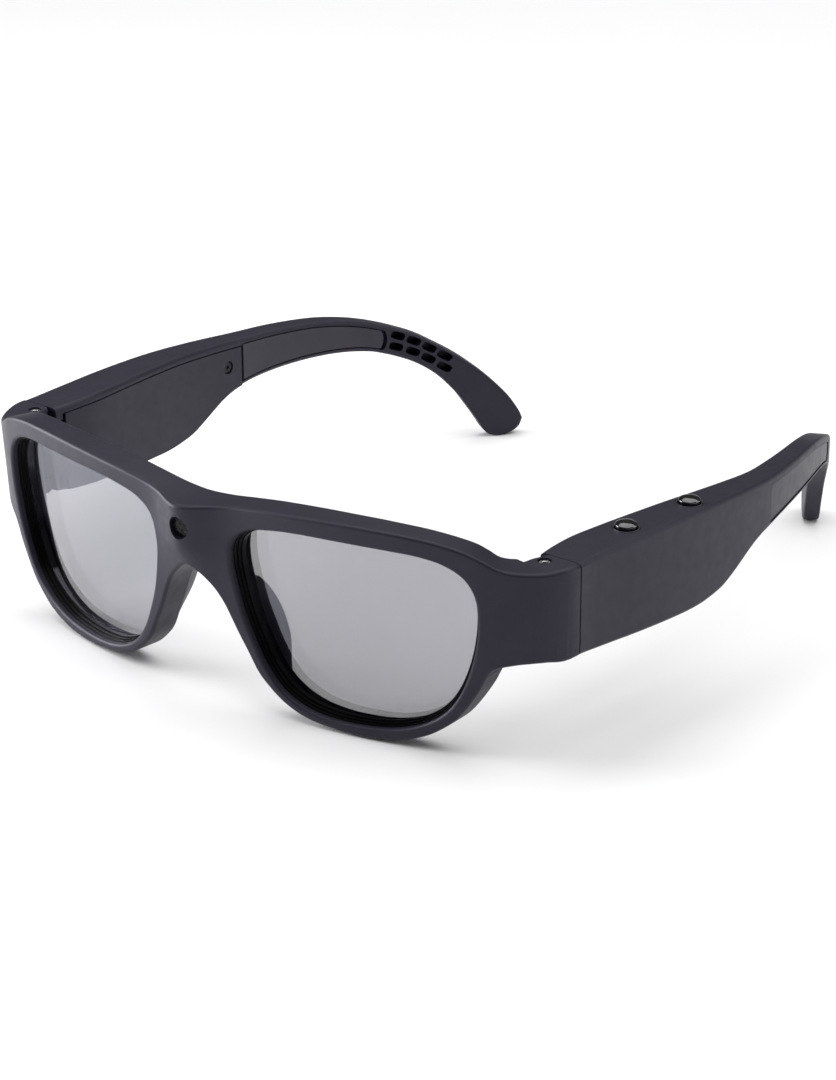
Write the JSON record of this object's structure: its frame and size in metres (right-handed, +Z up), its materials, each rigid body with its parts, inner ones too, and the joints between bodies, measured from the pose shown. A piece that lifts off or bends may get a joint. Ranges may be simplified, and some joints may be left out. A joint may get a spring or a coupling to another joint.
{
  "type": "camera smart glasses",
  "caption": "Wrap-front glasses with mirrored grey lenses, a camera in the bridge, deep folding temples and domed push buttons on top of one temple.",
  "frame": {"origin": "on the table under the middle of the glasses' outer box, where rim bottoms and temple tips rest", "axes": "+X towards the wearer's left, -Y out of the front, temples along +Y, +Z up"},
  "size_m": [0.1516, 0.1762, 0.0463],
  "materials": {
    "matt_black_plastic": "fine satin-matt moulding",
    "satin_black_plastic": "satin moulding",
    "mirror_grey_lens": "grey polarised lens with a light mirror coat",
    "clear_window": "clear camera window",
    "dark_chrome": "glossy plated dome",
    "dark_steel": "blackened steel",
    "circuit_board": "green solder mask",
    "shield_can": "plain metal can",
    "moulded_chip": "moulded black",
    "flex_amber": "amber polyimide film",
    "battery_wrap": "pouch film",
    "gold_contact": "gold plated"
  },
  "bodies": {
    "front": {"front_frame": "matt_black_plastic", "bridge_rear_cover": "satin_black_plastic", "lens_right": "mirror_grey_lens", "lens_left": "mirror_grey_lens", "camera_window": "clear_window", "camera_barrel": "moulded_chip", "camera_sensor_board": "circuit_board", "front_flex": "flex_amber", "hinge_pin_right": "dark_steel", "hinge_pin_left": "dark_steel"},
    "temple_right": {"temple_shell_right": "matt_black_plastic", "inner_cover_right": "matt_black_plastic", "rear_inner_panel_right": "satin_black_plastic", "rear_outer_panel_right": "satin_black_plastic", "temple_core_right": "dark_steel", "hinge_lug_right": "dark_steel", "hinge_lug_screw_right": "dark_steel", "cover_screw_right": "dark_steel", "main_board": "circuit_board", "button_board": "circuit_board", "processor_shield": "shield_can", "card_socket": "shield_can", "memory_card": "moulded_chip", "microphone": "shield_can", "charging_contact_block": "gold_contact", "button_ring_front": "satin_black_plastic", "button_ring_rear": "satin_black_plastic", "switch_front": "moulded_chip", "switch_rear": "moulded_chip"},
    "temple_left": {"temple_shell_left": "matt_black_plastic", "inner_cover_left": "matt_black_plastic", "rear_inner_panel_left": "satin_black_plastic", "rear_outer_panel_left": "satin_black_plastic", "temple_core_left": "dark_steel", "hinge_lug_left": "dark_steel", "hinge_lug_screw_left": "dark_steel", "cover_screw_left": "dark_steel", "battery_cell_left": "battery_wrap", "battery_board_left": "circuit_board"},
    "button_front": {"button_front": "dark_chrome"},
    "button_rear": {"button_rear": "dark_chrome"}
  },
  "joints": [
    {"name": "temple_right_fold", "type": "hinge", "parent": "front", "child": "temple_right", "pos_m": [0.067, -0.05797, 0.03042], "axis": [0, -0.0291, 0.9996], "range_deg": [0, 59]},
    {"name": "temple_left_fold", "type": "hinge", "parent": "front", "child": "temple_left", "pos_m": [-0.067, -0.05797, 0.03042], "axis": [0, 0.0291, -0.9996], "range_deg": [0, 85.3]},
    {"name": "button_front_press", "type": "slide", "parent": "temple_right", "child": "button_front", "axis": [0, 0.0291, -0.9996], "range_m": [0, 0.0004], "stiffness_N_per_m": 2500, "springref_m": -0.0002},
    {"name": "button_rear_press", "type": "slide", "parent": "temple_right", "child": "button_rear", "axis": [0, 0.0291, -0.9996], "range_m": [0, 0.0004], "stiffness_N_per_m": 2500, "springref_m": -0.0002}
  ]
}
